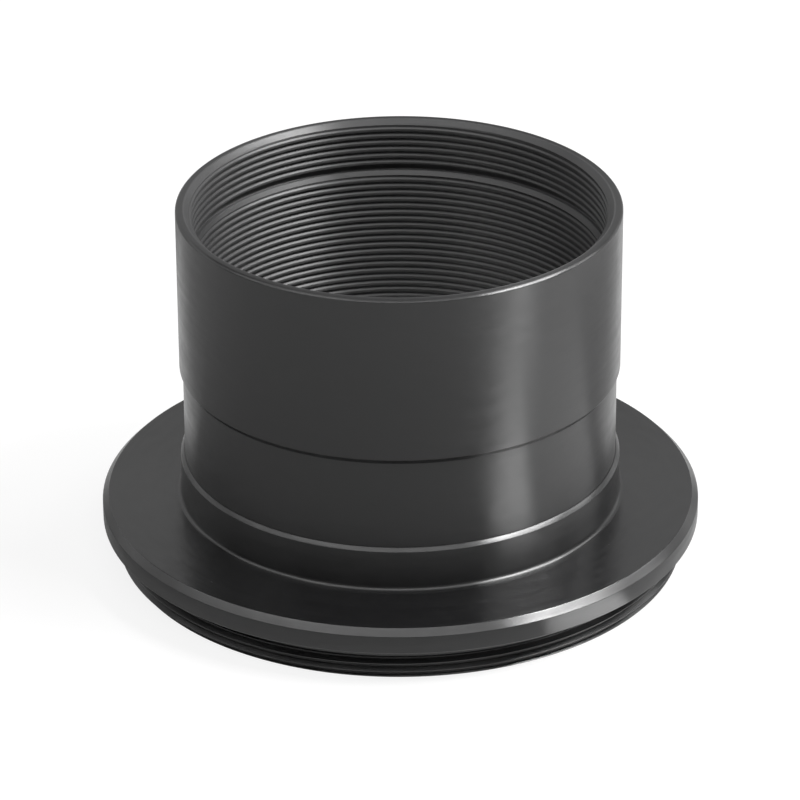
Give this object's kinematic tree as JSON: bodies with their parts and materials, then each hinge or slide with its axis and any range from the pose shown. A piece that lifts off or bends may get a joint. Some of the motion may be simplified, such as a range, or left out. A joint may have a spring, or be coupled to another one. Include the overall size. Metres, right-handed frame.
{
  "type": "focuser adapter",
  "caption": "Turned black ring adapter: push-fit barrel with a locking groove and a threaded mouth, on a flange with a short threaded spigot.",
  "frame": {"origin": "on the axis of turning, in the plane of the spigot's end, which the part stands on", "axes": "+Z along the axis of turning, from the spigot up to the barrel's mouth; the part is turned, so +X is any radius"},
  "size_m": [0.0694, 0.0694, 0.0428],
  "materials": {
    "black_anodised": "satin black anodised, turned"
  },
  "bodies": {
    "root": {"adapter_body": "black_anodised"}
  },
  "joints": []
}
